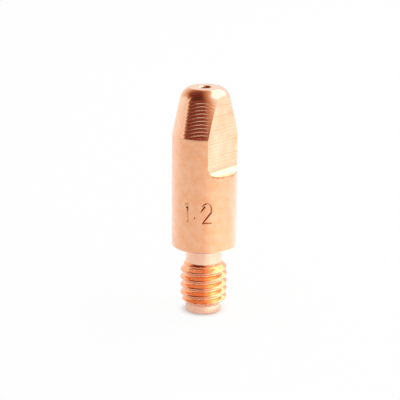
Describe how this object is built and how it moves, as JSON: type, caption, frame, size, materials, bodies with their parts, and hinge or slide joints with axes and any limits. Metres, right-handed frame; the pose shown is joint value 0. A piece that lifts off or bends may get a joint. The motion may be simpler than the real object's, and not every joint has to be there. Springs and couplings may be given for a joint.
{
  "type": "welding contact tip",
  "caption": "Turned copper contact tip with a tapered nose, two milled wrench flats, a wire bore and a threaded end with a relief neck and a pilot.",
  "frame": {"origin": "centre of the threaded end's face, on which the tip stands", "axes": "+Z along the bore from the threaded end to the nose; +X and -X are the outward normals of the two wrench flats"},
  "size_m": [0.0078, 0.0078, 0.028],
  "materials": {
    "copper": "satin"
  },
  "bodies": {
    "root": {"contact_tip": "copper"}
  },
  "joints": []
}
